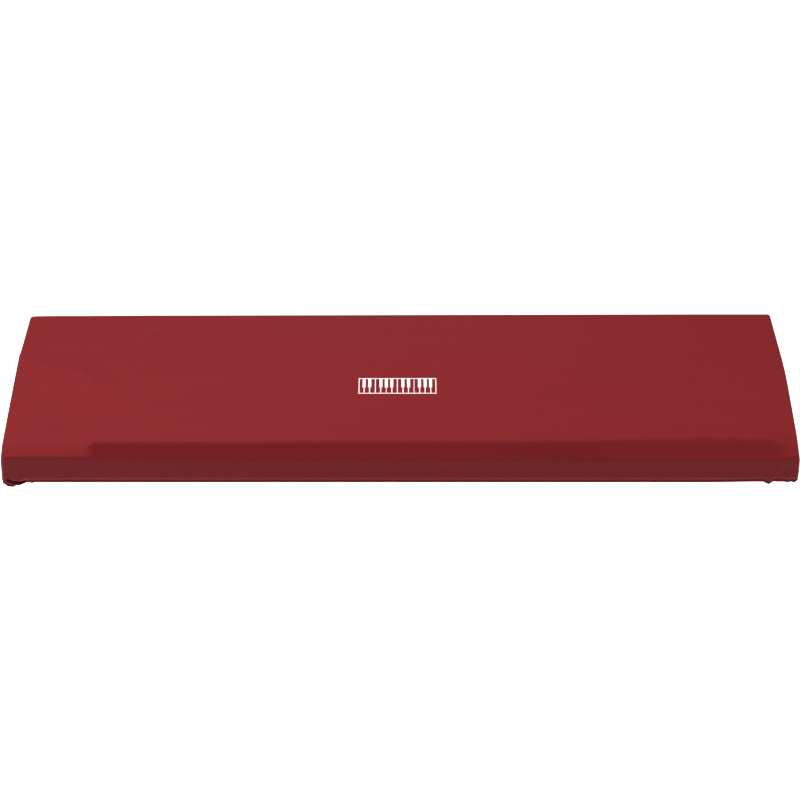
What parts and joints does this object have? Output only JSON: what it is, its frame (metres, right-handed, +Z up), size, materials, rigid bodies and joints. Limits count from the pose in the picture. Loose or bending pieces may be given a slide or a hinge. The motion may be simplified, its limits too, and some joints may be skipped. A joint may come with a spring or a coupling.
{
  "type": "fitted stretch dust cover for a stage piano",
  "caption": "Long fitted cover of stretch cloth that keeps dust off a stage piano: taut top, low sides and a hem turned under, hollow and open underneath.",
  "frame": {"origin": "under the middle of the cover, level with the lowest fold of its hem", "axes": "+X along the keys towards the treble end, -Y towards the player, +Z up"},
  "size_m": [1.2968, 0.344, 0.1144],
  "materials": {
    "stretch_cloth": "dull dark red knitted stretch cloth with a faint sheen"
  },
  "bodies": {
    "root": {"cover": "stretch_cloth"}
  },
  "joints": []
}
